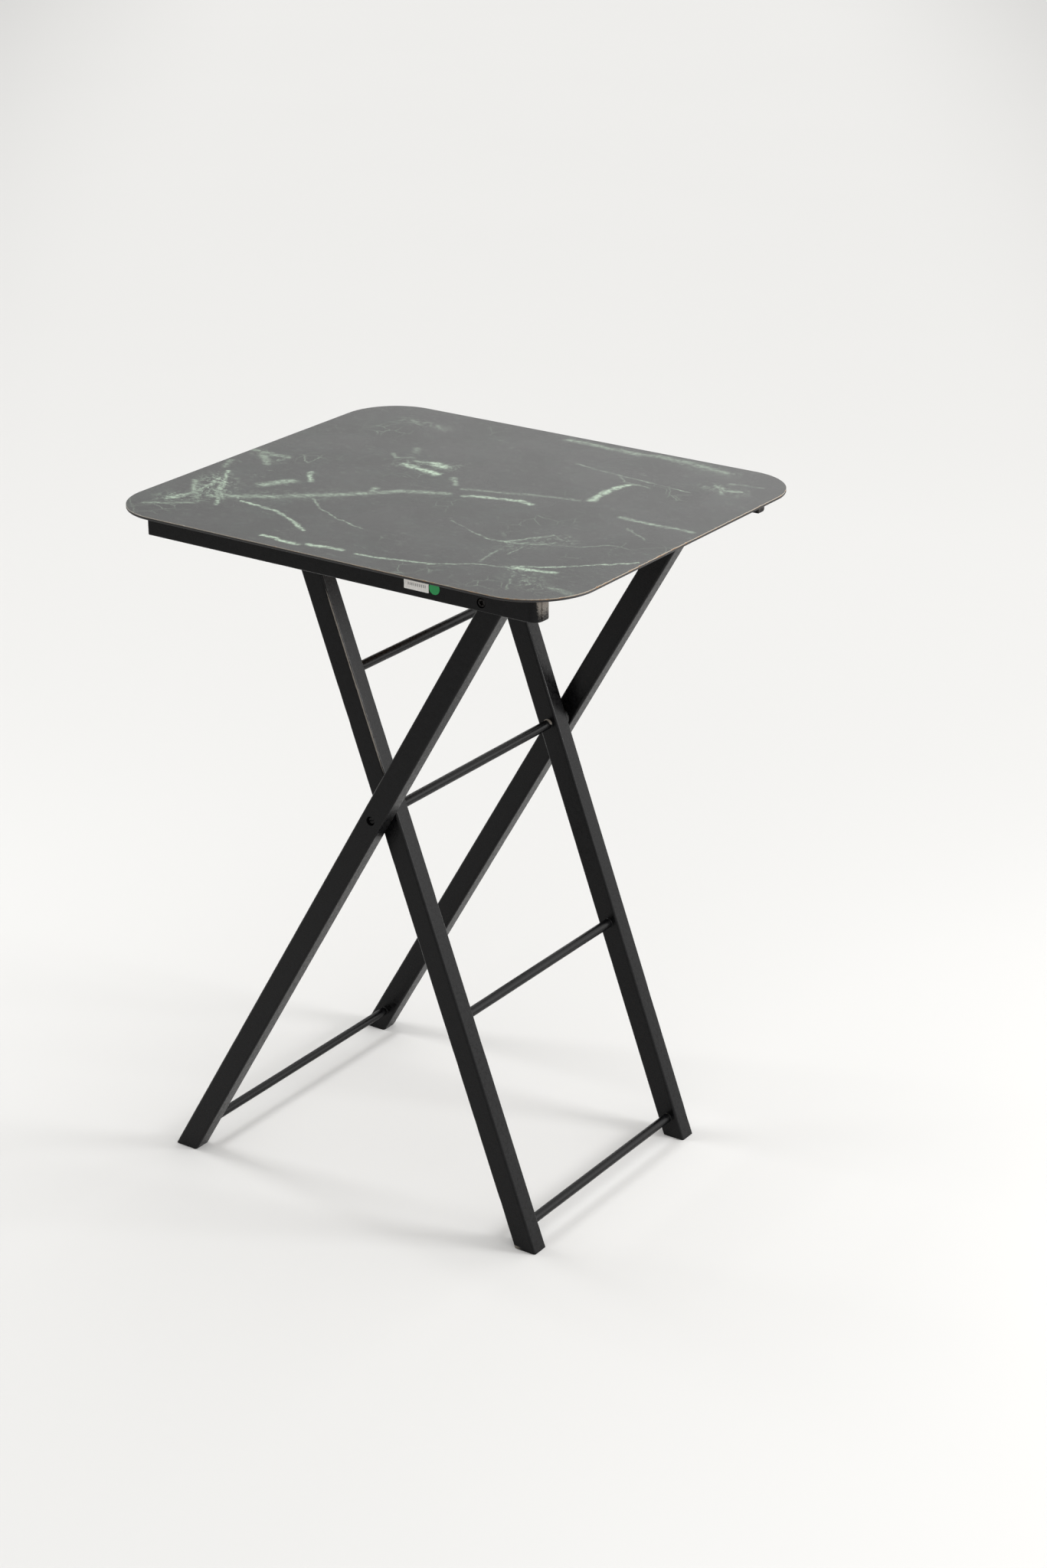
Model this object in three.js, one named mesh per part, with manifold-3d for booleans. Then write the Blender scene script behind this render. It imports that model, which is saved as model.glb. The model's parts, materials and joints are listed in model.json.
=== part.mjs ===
// Folding occasional table: a thin rounded top on two side rails, carried by two crossed
// wooden leg frames. The outer frame is bolted to the rails, the inner frame turns on it at
// the crossing, and its uppermost rung seats under a rebated batten that holds the legs open.
//
// Millimetres. +X runs along the rails, +Y from the front rail to the rear one, +Z up.
// The origin is on the floor below the middle of the top.

import * as THREE from 'three';
import { mergeVertices } from 'three/addons/utils/BufferGeometryUtils.js';
import Module from 'manifold-3d';

const wasm = await Module();
wasm.setup();

// ---------------------------------------------------------------- driving dimensions

const tableHeight = 750;
const topLength = 547;
const topDepth = 475;
const topCornerRadius = 64;
const boardThickness = 2.5;
const laminateThickness = 0.7;
const boardArris = 0.4;
const laminateArris = 0.18;

const railPlainInset = 40.5;   // from the short edges of the top to the rails' ends
const railHingeInset = 32.5;
const railThickness = 20.3;
const railHeight = 25.5;
const railInset = 24.1;        // from the long edge of the top to the rail's outer face
const railNoseRadius = 10;     // rounded outer corner at the hinge end
const railArris = 1.5;

const legWidth = 25;
const legThickness = 21.2;
const legArris = 2.8;
const hingeGap = 8.9;          // between a rail and an outer leg
const crossingGap = 5.8;       // between an outer and an inner leg

const crossingX = 19;          // the axis on which the two frames cross
const outerFootInset = 26.9;   // from the short edge of the top to the outer feet
const hingeSetback = 63.6;     // from the rails' rounded end back to the hinge axis
const hingeDrop = 20.2;        // from the table surface down to the hinge axis

const rungDiameter = 10.4;     // round rungs of the inner frame
const stretcherDiameter = 9.6; // round stretcher of the outer frame
const housingDepth = 12;       // how far a rung enters a leg
const upperRungReach = 147.5;  // along the inner leg, above the crossing
const lowerRungReach = 231.5;  // along the inner leg, below the crossing
const footRungSetback = 23.9;  // along the inner leg, above the floor
const stretcherSetback = 30;   // along the outer leg, above the floor
const foldClearance = 3.3;     // between the inner leg tips and the top while folding
const footPassClearance = 1.5; // between the inner feet and the stretcher while folding

const battenWidth = 26;
const battenEndClearance = 1.5;
const battenLip = 5;           // how far the rebate reaches down past the catch rung's axis
const rebateAngle = 24;        // the rebate stops this many degrees short of straight above

const boltDiameter = 5;
const boltHeadDiameter = 8.5;
const boltHeadHeight = 4.5;
const boltSocketWidth = 4;
const boltSocketDepth = 2.6;
const boltStub = 1;            // thread that stands proud of the nut
const boltChamfer = 0.4;
const counterboreDiameter = 10;
const counterboreDepth = 5.5;
const washerDiameter = 12;
const washerThickness = 1;
const nutWidth = 8;
const nutThickness = 4.2;
const hingeSpacerDiameter = 18;
const crossingSpacerDiameter = 20;
const screwDiameter = 5;
const screwHeadDiameter = 9;
const screwHeadHeight = 3;
const screwHeadRim = 1.2;      // height of the head's upright edge below its crown
const screwHeadCrown = 6.5;    // diameter of the flat on the crown
const screwTip = 4;            // length of the pointed end
const screwSlotWidth = 1.2;
const screwSlotDepth = 1.4;
const screwBite = 25;          // length held in the end of the middle rung

const labelLength = 29;
const labelHeight = 12;
const labelCornerRadius = 0.8;
const labelX = 102.2;
const stickerDiameter = 12.4;
const stickerX = 123.4;
const stickerThickness = 0.2;

const seatGap = 0.3;           // between pieces that touch, and round pieces in their holes
const filmGap = 0.05;          // under the bonded laminate and the stickers
const endGap = 0.5;            // beyond the end of a rung or screw in its hole

const roundSegments = 32;
const arcSegments = 10;
const arrisSegments = 3;

// ---------------------------------------------------------------- places that follow

const laminateBase = tableHeight - laminateThickness;
const boardBase = laminateBase - filmGap - boardThickness;
const railTop = boardBase - seatGap;
const railOuterY = topDepth / 2 - railInset;
const railInnerY = railOuterY - railThickness;
const outerLegOuterY = railInnerY - hingeGap;
const outerLegInnerY = outerLegOuterY - legThickness;
const innerLegOuterY = outerLegInnerY - crossingGap;
const innerLegInnerY = innerLegOuterY - legThickness;

const legRadius = legWidth / 2;
const rungRadius = rungDiameter / 2;
const stretcherRadius = stretcherDiameter / 2;
const holeRadius = boltDiameter / 2 + seatGap;

const railPlainX = railPlainInset - topLength / 2;
const railHingeX = topLength / 2 - railHingeInset;
const hingeX = railHingeX - hingeSetback;
const hingeZ = tableHeight - hingeDrop;
const outerFootX = outerFootInset - topLength / 2;

// A frame leans by its angle about +Y, so a positive lean carries its top towards +X.
const outerLean = Math.atan2(hingeX - outerFootX, hingeZ);
const crossingHeight = (crossingX - outerFootX) / Math.tan(outerLean);
const hingeReach = (hingeX - crossingX) / Math.sin(outerLean);

// The inner feet just clear the stretcher as the frames close, which sets their lean.
const stretcherReach = crossingHeight / Math.cos(outerLean) - stretcherSetback;
const innerFootSweep = stretcherReach - stretcherRadius - footPassClearance;
const innerFootTurn = Math.asin(legRadius / innerFootSweep);
const innerLean = innerFootTurn - Math.acos(crossingHeight / innerFootSweep);

const catchReach = boardBase - foldClearance - crossingHeight - legRadius;
const catchX = crossingX + catchReach * Math.sin(innerLean);
const catchZ = crossingHeight + catchReach * Math.cos(innerLean);
const footRungReach = crossingHeight / Math.cos(innerLean) - footRungSetback;

const rungEndY = innerLegInnerY + housingDepth - endGap;
const stretcherEndY = outerLegInnerY + housingDepth - endGap;

const boltBearingY = railOuterY - counterboreDepth + seatGap;
const screwBearingY = outerLegOuterY - counterboreDepth + seatGap;
const washerOuterY = outerLegInnerY - seatGap;
const nutOuterY = washerOuterY - washerThickness - seatGap;
const nutInnerY = nutOuterY - nutThickness;

// ---------------------------------------------------------------- materials

function paint(color, roughness, metalness = 0) {
  return new THREE.MeshStandardMaterial({ color, roughness, metalness });
}

const finishes = {
  laminate: () => paint(0x1d2a25, 0.35),
  board: () => paint(0x2a2019, 0.8),
  frame: () => paint(0x16171a, 0.45),
  spacer: () => paint(0x101010, 0.6),
  steel: () => paint(0x8b8d90, 0.35, 1),
  label: () => paint(0xf1f1ee, 0.6),
  sticker: () => paint(0x159a45, 0.5),
};

// ---------------------------------------------------------------- solids

function solidOf(geometry) {
  const bare = geometry.clone();
  bare.deleteAttribute('normal');
  bare.deleteAttribute('uv');
  const merged = mergeVertices(bare, 1e-4);
  return new wasm.Manifold(new wasm.Mesh({
    numProp: 3,
    vertProperties: new Float32Array(merged.attributes.position.array),
    triVerts: new Uint32Array(merged.index.array),
  }));
}

function geometryOf(solid) {
  const mesh = solid.getMesh();
  const geometry = new THREE.BufferGeometry();
  geometry.setAttribute('position', new THREE.BufferAttribute(mesh.vertProperties, 3));
  geometry.setIndex(new THREE.BufferAttribute(mesh.triVerts, 1));
  geometry.computeVertexNormals();
  return geometry;
}

function carve(blank, cutters) {
  let solid = solidOf(blank);
  for (const cutter of cutters) solid = solid.subtract(solidOf(cutter));
  return geometryOf(solid);
}

function roundAlongY(radius, fromY, toY, x = 0, z = 0) {
  const length = Math.abs(toY - fromY);
  const geometry = new THREE.CylinderGeometry(radius, radius, length, roundSegments);
  return geometry.translate(x, (fromY + toY) / 2, z);
}

// An outline drawn in x and z, given a thickness along y with rounded arrises.
function slabAlongY(outline, thickness, arris) {
  const geometry = new THREE.ExtrudeGeometry(outline, {
    depth: thickness - 2 * arris,
    bevelThickness: arris,
    bevelSize: arris,
    bevelOffset: -arris,
    bevelSegments: arrisSegments,
    curveSegments: arcSegments,
  });
  geometry.translate(0, 0, arris - thickness / 2);
  return geometry.rotateX(Math.PI / 2);
}

// An outline drawn in x and y, given a height along z from zero, with rounded arrises.
function slabAlongZ(outline, height, arris, bevelSegments) {
  const geometry = new THREE.ExtrudeGeometry(outline, {
    depth: height - 2 * arris,
    bevelThickness: arris,
    bevelSize: arris,
    bevelOffset: -arris,
    bevelSegments,
    curveSegments: arcSegments,
  });
  return geometry.translate(0, 0, arris);
}

function roundedRectangle(length, width, radius) {
  const x = length / 2 - radius;
  const y = width / 2 - radius;
  const outline = new THREE.Shape();
  outline.absarc(x, y, radius, 0, Math.PI / 2);
  outline.absarc(-x, y, radius, Math.PI / 2, Math.PI);
  outline.absarc(-x, -y, radius, Math.PI, 1.5 * Math.PI);
  outline.absarc(x, -y, radius, 1.5 * Math.PI, 2 * Math.PI);
  return outline;
}

function named(name, geometry, finish) {
  const mesh = new THREE.Mesh(geometry, finishes[finish]());
  mesh.name = name;
  return mesh;
}

// ---------------------------------------------------------------- legs

// Height of the floor, along a leaning leg, at a distance x across it.
function floorLine(x, lean) {
  return (x * Math.sin(lean) - crossingHeight) / Math.cos(lean);
}

// A leg in its frame's own axes: x across it, z up along it from the crossing.
function legBlank(tipReach, lean) {
  const outline = new THREE.Shape();
  outline.moveTo(-legRadius, floorLine(-legRadius, lean));
  outline.lineTo(legRadius, floorLine(legRadius, lean));
  outline.lineTo(legRadius, tipReach);
  outline.absarc(0, tipReach, legRadius, 0, Math.PI);
  return slabAlongY(outline, legThickness, legArris);
}

function outerLeg(name, side) {
  const middleY = side * (outerLegOuterY + outerLegInnerY) / 2;
  const blank = legBlank(hingeReach, outerLean).translate(0, middleY, 0);
  const inside = side * (outerLegInnerY - 1);
  const outside = side * (outerLegOuterY + 1);
  const counterboreFloor = side * (outerLegOuterY - counterboreDepth);
  const housingFloor = side * (outerLegInnerY + housingDepth);
  return named(name, carve(blank, [
    roundAlongY(holeRadius, inside, outside),
    roundAlongY(counterboreDiameter / 2, counterboreFloor, outside),
    roundAlongY(holeRadius, inside, outside, 0, hingeReach),
    roundAlongY(stretcherRadius + seatGap, inside, housingFloor, 0, -stretcherReach),
  ]), 'frame');
}

const rungs = {
  catch_rung: catchReach,
  upper_rung: upperRungReach,
  middle_rung: 0,
  lower_rung: -lowerRungReach,
  foot_rung: -footRungReach,
};

function innerLeg(name, side) {
  const middleY = side * (innerLegOuterY + innerLegInnerY) / 2;
  const blank = legBlank(catchReach, innerLean).translate(0, middleY, 0);
  const inside = side * (innerLegInnerY - 1);
  const outside = side * (innerLegOuterY + 1);
  const housingFloor = side * (innerLegInnerY + housingDepth);
  const housings = Object.values(rungs).map(
    (reach) => roundAlongY(rungRadius + seatGap, inside, housingFloor, 0, reach),
  );
  const screwHole = roundAlongY(holeRadius, inside, outside);
  return named(name, carve(blank, [screwHole, ...housings]), 'frame');
}

// ---------------------------------------------------------------- rungs

function rung(name, reach) {
  const round = roundAlongY(rungRadius, -rungEndY, rungEndY, 0, reach);
  if (reach !== 0) return named(name, round, 'frame');
  const pilots = [-1, 1].map((side) => {
    const pilotFloor = side * (rungEndY - screwBite - endGap);
    return roundAlongY(holeRadius, pilotFloor, side * (rungEndY + 1));
  });
  return named(name, carve(round, pilots), 'frame');
}

// ---------------------------------------------------------------- hardware

// A turned piece along y: its profile is a list of [radius, distance along the axis].
function turned(profile) {
  const points = profile.map(([radius, along]) => new THREE.Vector2(radius, along));
  return new THREE.LatheGeometry(points, roundSegments);
}

// Faces a piece whose axis runs along +y outwards on the given side, at a distance y.
function faceOutwards(mesh, side, y, x = 0, z = 0) {
  if (side < 0) mesh.rotation.z = Math.PI;
  mesh.position.set(x, side * y, z);
  return mesh;
}

function hexAlongY(widthAcrossFlats, fromY, toY) {
  const radius = widthAcrossFlats / 2 / Math.cos(Math.PI / 6);
  const geometry = new THREE.CylinderGeometry(radius, radius, toY - fromY, 6);
  return geometry.translate(0, (fromY + toY) / 2, 0);
}

// Cap screw through rail, spacer, outer leg, washer and nut. Its head bears at zero.
function hingeBolt(name, side) {
  const head = boltHeadDiameter / 2;
  const shank = boltDiameter / 2;
  const grip = boltBearingY - nutInnerY + boltStub;
  const chamfer = boltChamfer;
  const blank = turned([
    [0, -grip], [shank - chamfer, -grip], [shank, chamfer - grip], [shank, 0], [head, 0],
    [head, boltHeadHeight - chamfer], [head - chamfer, boltHeadHeight], [0, boltHeadHeight],
  ]);
  const socket = hexAlongY(boltSocketWidth, boltHeadHeight - boltSocketDepth, boltHeadHeight + 1);
  const bolt = named(name, carve(blank, [socket]), 'steel');
  return faceOutwards(bolt, side, boltBearingY, hingeX, hingeZ);
}

function ring(name, finish, outerDiameter, thickness) {
  const outer = outerDiameter / 2;
  const geometry = turned([
    [holeRadius, -thickness], [outer, -thickness], [outer, 0], [holeRadius, 0],
    [holeRadius, -thickness],
  ]);
  return named(name, geometry, finish);
}

function hingeNut(name, side) {
  const corner = nutWidth / 2 / Math.cos(Math.PI / 6);
  const flat = nutWidth / 2;
  const rise = corner - flat;
  const rounding = turned([
    [0, -nutThickness], [flat, -nutThickness], [corner, rise - nutThickness],
    [corner, -rise], [flat, 0], [0, 0],
  ]);
  const hexagon = solidOf(hexAlongY(nutWidth, -nutThickness, 0));
  const thread = solidOf(roundAlongY(holeRadius, -nutThickness - 1, 1));
  const nut = hexagon.intersect(solidOf(rounding)).subtract(thread);
  return faceOutwards(named(name, geometryOf(nut), 'steel'), side, nutOuterY, hingeX, hingeZ);
}

// Slotted screw through the outer leg, spacer and inner leg into the middle rung's end.
function crossingScrew(name, side) {
  const head = screwHeadDiameter / 2;
  const shank = screwDiameter / 2;
  const length = screwBearingY - rungEndY + screwBite;
  const blank = turned([
    [0, -length], [shank, screwTip - length], [shank, 0], [head, 0],
    [head, screwHeadRim], [screwHeadCrown / 2, screwHeadHeight], [0, screwHeadHeight],
  ]);
  const slot = new THREE.BoxGeometry(screwHeadDiameter + 2, 2 * screwSlotDepth, screwSlotWidth);
  slot.translate(0, screwHeadHeight, 0);
  return faceOutwards(named(name, carve(blank, [slot]), 'steel'), side, screwBearingY);
}

// ---------------------------------------------------------------- top

function panel(name, finish, thickness, baseZ, arris) {
  const outline = roundedRectangle(topLength, topDepth, topCornerRadius);
  const mesh = named(name, slabAlongZ(outline, thickness, arris, 1), finish);
  mesh.position.z = baseZ;
  return mesh;
}

// A side rail, square at one end and with a rounded outer corner at the hinge end.
function rail(name, side) {
  const outerY = side * railOuterY;
  const innerY = side * railInnerY;
  const noseX = railHingeX - railNoseRadius;
  const noseY = side * (railOuterY - railNoseRadius);
  const outline = new THREE.Shape();
  outline.moveTo(railPlainX, innerY);
  outline.lineTo(railHingeX, innerY);
  outline.absarc(noseX, noseY, railNoseRadius, 0, side * Math.PI / 2, side < 0);
  outline.lineTo(railPlainX, outerY);
  const blank = slabAlongZ(outline, railHeight, railArris, arrisSegments);
  blank.translate(0, 0, railTop - railHeight);
  const outside = side * (railOuterY + 1);
  return named(name, carve(blank, [
    roundAlongY(holeRadius, side * (railInnerY - 1), outside, hingeX, hingeZ),
    roundAlongY(counterboreDiameter / 2, side * (railOuterY - counterboreDepth), outside,
      hingeX, hingeZ),
  ]), 'frame');
}

// The batten under the top, rebated along its lower corner for the catch rung. The rung
// bears on it from below and behind, and leaves it freely towards the crossing.
function catchBatten(name) {
  const seatRadius = rungRadius + seatGap;
  const faceX = catchX - seatRadius * Math.sin(THREE.MathUtils.degToRad(rebateAngle));
  const lowZ = catchZ - battenLip;
  const length = 2 * (innerLegInnerY - battenEndClearance);
  const blank = new THREE.BoxGeometry(battenWidth, length, railTop - lowZ);
  blank.translate(faceX - battenWidth / 2, 0, (railTop + lowZ) / 2);
  const seat = roundAlongY(seatRadius, -length, length, catchX, catchZ);
  const clearWidth = 2 * seatRadius;
  const below = new THREE.BoxGeometry(clearWidth, 2 * length, 2 * battenLip);
  below.translate(catchX - seatRadius + clearWidth / 2, 0, catchZ - battenLip);
  return named(name, carve(blank, [seat, below]), 'frame');
}

// Stickers on the front rail's outer face.
function stickerPlace(mesh, x) {
  mesh.position.set(x, -railOuterY - filmGap - stickerThickness / 2, railTop - railHeight / 2);
  return mesh;
}

function label(name) {
  const outline = roundedRectangle(labelLength, labelHeight, labelCornerRadius);
  const geometry = new THREE.ExtrudeGeometry(outline, {
    depth: stickerThickness,
    bevelEnabled: false,
    curveSegments: 4,
  });
  geometry.translate(0, 0, -stickerThickness / 2).rotateX(Math.PI / 2);
  return stickerPlace(named(name, geometry, 'label'), labelX);
}

function dot(name) {
  const half = stickerThickness / 2;
  const disc = roundAlongY(stickerDiameter / 2, -half, half);
  return stickerPlace(named(name, disc, 'sticker'), stickerX);
}

// ---------------------------------------------------------------- assembly

const sides = [['front', -1], ['rear', 1]];

function buildTabletop() {
  const tabletop = new THREE.Group();
  tabletop.add(panel('top_board', 'board', boardThickness, boardBase, boardArris));
  tabletop.add(
    panel('top_laminate', 'laminate', laminateThickness, laminateBase, laminateArris),
  );
  tabletop.add(catchBatten('catch_batten'));
  tabletop.add(label('rail_label'), dot('rail_dot'));
  for (const [end, side] of sides) {
    tabletop.add(rail(`${end}_rail`, side));
    tabletop.add(hingeBolt(`${end}_hinge_bolt`, side));
    const spacerThickness = hingeGap - 2 * seatGap;
    const spacer = ring(`${end}_hinge_spacer`, 'spacer', hingeSpacerDiameter, spacerThickness);
    tabletop.add(faceOutwards(spacer, side, railInnerY - seatGap, hingeX, hingeZ));
    const washer = ring(`${end}_hinge_washer`, 'steel', washerDiameter, washerThickness);
    tabletop.add(faceOutwards(washer, side, washerOuterY, hingeX, hingeZ));
    tabletop.add(hingeNut(`${end}_hinge_nut`, side));
  }
  return tabletop;
}

// Both frames are built upright round the crossing, then leaned.
function leanedFrame(lean) {
  const frame = new THREE.Group();
  frame.position.set(crossingX, 0, crossingHeight);
  frame.rotation.y = lean;
  return frame;
}

function buildOuterFrame() {
  const frame = leanedFrame(outerLean);
  const stretcher = roundAlongY(stretcherRadius, -stretcherEndY, stretcherEndY, 0, -stretcherReach);
  frame.add(named('outer_stretcher', stretcher, 'frame'));
  for (const [end, side] of sides) {
    frame.add(outerLeg(`outer_leg_${end}`, side));
    const thickness = crossingGap - 2 * seatGap;
    const spacer = ring(`${end}_crossing_spacer`, 'spacer', crossingSpacerDiameter, thickness);
    frame.add(faceOutwards(spacer, side, outerLegInnerY - seatGap));
  }
  return frame;
}

function buildInnerFrame() {
  const frame = leanedFrame(innerLean);
  for (const [name, reach] of Object.entries(rungs)) frame.add(rung(name, reach));
  for (const [end, side] of sides) {
    frame.add(innerLeg(`inner_leg_${end}`, side));
    frame.add(crossingScrew(`${end}_crossing_screw`, side));
  }
  return frame;
}

const group = new THREE.Group();
group.add(buildTabletop(), buildOuterFrame(), buildInnerFrame());

export default group;
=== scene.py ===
"""Folding side table: the finished surfaces round its fixed frame.

The frame gives every place and size. Each operator below finishes one piece or one group of
like pieces, and the last one sets the floor, the light and the camera.
"""

import json
import math

import bmesh
import bpy
import numpy as np
from bpy.props import FloatProperty, FloatVectorProperty, IntProperty, PointerProperty
from mathutils import Matrix, Vector, noise


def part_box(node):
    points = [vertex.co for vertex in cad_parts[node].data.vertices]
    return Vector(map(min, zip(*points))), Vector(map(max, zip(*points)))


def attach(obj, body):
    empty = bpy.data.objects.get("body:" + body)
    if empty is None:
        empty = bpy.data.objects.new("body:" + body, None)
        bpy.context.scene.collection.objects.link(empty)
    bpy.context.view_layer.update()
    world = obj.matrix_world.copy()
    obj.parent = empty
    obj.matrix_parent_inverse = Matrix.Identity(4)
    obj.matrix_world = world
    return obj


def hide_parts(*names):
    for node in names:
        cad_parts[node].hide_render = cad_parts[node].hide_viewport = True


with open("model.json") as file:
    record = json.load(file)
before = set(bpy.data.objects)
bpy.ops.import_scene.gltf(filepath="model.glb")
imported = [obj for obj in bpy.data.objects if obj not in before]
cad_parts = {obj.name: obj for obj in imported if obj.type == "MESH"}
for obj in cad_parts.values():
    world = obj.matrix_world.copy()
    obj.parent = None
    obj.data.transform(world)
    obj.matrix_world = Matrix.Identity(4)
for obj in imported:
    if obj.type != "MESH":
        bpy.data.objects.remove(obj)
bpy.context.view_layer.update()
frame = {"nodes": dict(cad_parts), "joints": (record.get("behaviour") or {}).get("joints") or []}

bl_info = {
    "name": "Folding side table",
    "version": (1, 0, 0),
    "blender": (4, 5, 0),
    "location": "3D View > Sidebar > Table",
    "description": "Finishes a folding side table with a marbled top and a painted wood frame",
    "category": "Object",
}

MM = 0.001
ENDS = ("front", "rear")
INNER_RUNGS = ("catch_rung", "upper_rung", "middle_rung", "lower_rung", "foot_rung")

OUTLINE_STEP = 1.5 * MM  # spacing of the points round the top
BOARD_ARRIS = 0.5 * MM  # softening of the board's edges
RAIL_END = 1.2 * MM  # softening of the rails' ends
BATTEN_ARRIS = 0.9 * MM  # rounding of the batten's edges
RUNG_CHAMFER = 0.8 * MM  # chamfer at a rung's hidden ends
RUNG_RIPPLE = 0.09 * MM  # unevenness of a rung
RUNG_STATION = 4 * MM  # spacing of the rings along a rung
PLAY = 0.3 * MM  # room round a rung in its housing
HOUSING = 12 * MM  # depth of a rung's housing
OVERRUN = 2 * MM  # how far a drill runs past a face
SMALLEST_ARRIS = 0.35 * MM
FLAT_ANGLE = math.radians(32)  # edges steeper than this stay sharp
BOARD_FLAT_ANGLE = math.radians(50)

# Wear of the front inner leg, along the leg from the crossing; its rubbed arris is also painted
# pale as a painted highlight.
RUB_HIGHLIGHT_RISE = 60 * MM  # length over which the rubbing begins
RUB_HIGHLIGHT_END = 0.27  # where it ends, in metres
RUB_HIGHLIGHT_FALL = 50 * MM  # length over which it ends
FULL_RUB = 0.71  # the rub that the middle of an arris reaches
RUBBED_HIGHLIGHT = 0.85  # how bare it is there
CHIP_HEIGHT = 4 * MM  # of the chip in the sole
CHIP_SIDE = 9 * MM  # how far left of the leg's middle the chip begins
CHIPPED = 0.74  # how bare it is there

# Directions in which the floor's painted shade and the sky change, seen from the camera.
AHEAD = (0.45, 0.89, 0)
ACROSS = (0.826, 0.564, 0)
BRIGHT_SKY = (0.9, 0.44, -0.1)
GLOW = (0.78, 0.62, 0.0)

# Veins of the marbled print, in millimetres from the middle of the top: half width,
# brightness, and the points that the vein runs through.
VEINS = (
    (7.0, 0.42, ((-203, -147), (-150, -112), (-100, -72), (-55, -24), (-10, -5))),
    (4.6, 0.85, ((10, -1), (38, 9), (64, 17), (82, 13))),
    (4.0, 0.25, ((-8, 17), (60, 38), (112, 52))),
    (5.6, 1.0, ((126, 122), (122, 108), (124, 58))),
    (3.0, 0.4, ((132, 128), (122, 118))),
    (5.6, 0.9, ((-106, 52), (-76, 48), (-56, 41))),
    (6.5, 0.9, ((-84, 71), (-66, 65))),
    (3.5, 0.4, ((-104, 68), (-84, 70))),
    (3.5, 0.4, ((-36, 40), (-20, 24))),
    (4.0, 0.75, ((-171, -27), (-153, -48))),
    (8.0, 0.5, ((-186, -86), (-168, -60))),
    (5.0, 0.2, ((-128, 108), (-118, 92))),
    (5.0, 0.45, ((-83, -32), (-78, -50))),
    (3.2, 0.3, ((-140, 76), (-130, 64), (-112, 76))),
    (2.6, 0.6, ((-244, -70), (-215, -114), (-188, -147))),
    (3.0, 0.5, ((-238, -92), (-228, -120), (-224, -146))),
    (5.0, 0.4, ((-252, -112), (-214, -160))),
    (4.6, 0.65, ((-236, -178), (-225, -150))),
    (4.0, 0.3, ((-204, -174), (-246, -200))),
    (3.0, 0.5, ((-226, -104), (-192, -150), (-184, -166))),
    (3.0, 0.4, ((-214, -128), (-176, -136))),
    (2.6, 0.75, ((-166, -142), (-120, -151), (-95, -160), (-56, -183))),
    (1.2, 0.45, ((-113, -98), (-90, -118), (-50, -137), (-14, -146))),
    (3.6, 0.95, ((-82, -217), (-58, -221), (-36, -221))),
    (3.8, 0.9, ((-28, -216), (-8, -211), (12, -208))),
    (2.6, 0.65, ((32, -210), (60, -205), (104, -197))),
    (1.6, 0.5, ((104, -197), (140, -172), (184, -160))),
    (4.2, 0.85, ((179, -156), (196, -154), (216, -149))),
    (1.9, 0.75, ((182, -151), (206, -137), (236, -110), (268, -86))),
    (2.6, 0.45, ((126, -100), (156, -58))),
    (1.7, 0.5, ((80, -91), (110, -100), (136, -98), (162, -86), (166, -72))),
    (1.0, 0.35, ((44, -75), (80, -91))),
    (1.3, 0.35, ((130, -101), (152, -85), (196, -70), (216, -50))),
    (1.2, 0.3, ((152, -95), (151, -130))),
    (2.0, 0.3, ((137, -125), (141, -165))),
    (3.6, 0.5, ((178, 30), (230, 25), (263, 28))),
    (1.8, 0.35, ((204, 2), (236, -20))),
    (1.6, 0.4, ((40, 158), (100, 147), (192, 134))),
    (1.4, 0.25, ((100, 148), (118, 130), (150, 125))),
    (6.5, 0.4, ((-12, 221), (60, 222), (130, 228), (190, 214))),
    (3.0, 0.5, ((204, 171), (218, 162), (236, 168))),
    (3.0, 0.45, ((214, 162), (220, 150))),
    (3.0, 0.3, ((214, 185), (246, 191))),
    (4.6, 0.35, ((-272, 6), (-222, 5))),
    (5.0, 0.35, ((-256, 4), (-226, -26))),
    (4.0, 0.3, ((-266, -38), (-256, -60))),
    (1.5, 0.3, ((196, -188), (211, -216))),
    (5.0, 0.3, ((240, -186), (268, -192))),
    (3.6, 0.2, ((-198, 190), (-180, 179))),
    (3.6, 0.2, ((-165, 189), (-150, 179))),
)

# Feathered patches of the print, in the same way.
FEATHERS = (
    (34, 0.9, ((-236, -96), (-205, -142))), (26, 0.7, ((-240, -172), (-214, -160))),
    (22, 0.6, ((-112, 56), (-62, 70))), (20, 0.5, ((-262, 6), (-226, -10))),
    (24, 0.45, ((140, -110), (172, -62))), (26, 0.5, ((186, -160), (226, -196))),
    (22, 0.55, ((200, 168), (236, 162))), (20, 0.4, ((120, 226), (196, 212))),
    (18, 0.4, ((-204, 188), (-150, 182))), (30, 0.4, ((-180, -130), (-110, -80))),
)


# ------------------------------------------------------------------ settings


def length(name, description, default):
    """A size in metres, shown in the scene's own unit."""
    return FloatProperty(
        name=name, description=description, default=default, unit="LENGTH", precision=5
    )


def share(name, description, default):
    """A plain number from 0 to 1."""
    return FloatProperty(
        name=name, description=description, default=default, min=0, max=1, subtype="FACTOR"
    )


def colour(name, description, default):
    """A colour in linear light."""
    return FloatVectorProperty(
        name=name, description=description, default=default, size=3, min=0, max=1, subtype="COLOR"
    )


def angle(name, description, degrees):
    """An angle, given here in degrees."""
    return FloatProperty(
        name=name, description=description, default=math.radians(degrees), unit="ROTATION"
    )


def level(name, description, default):
    """A strength of light, 1 for plain white."""
    return FloatProperty(name=name, description=description, default=default, min=0)


def power(name, description, default):
    """A lamp's power in watts."""
    return FloatProperty(name=name, description=description, default=default, unit="POWER")


def spot(name, description, default):
    """A place in the table's own frame, in metres."""
    return FloatVectorProperty(
        name=name, description=description, default=default, size=3, unit="LENGTH"
    )


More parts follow.
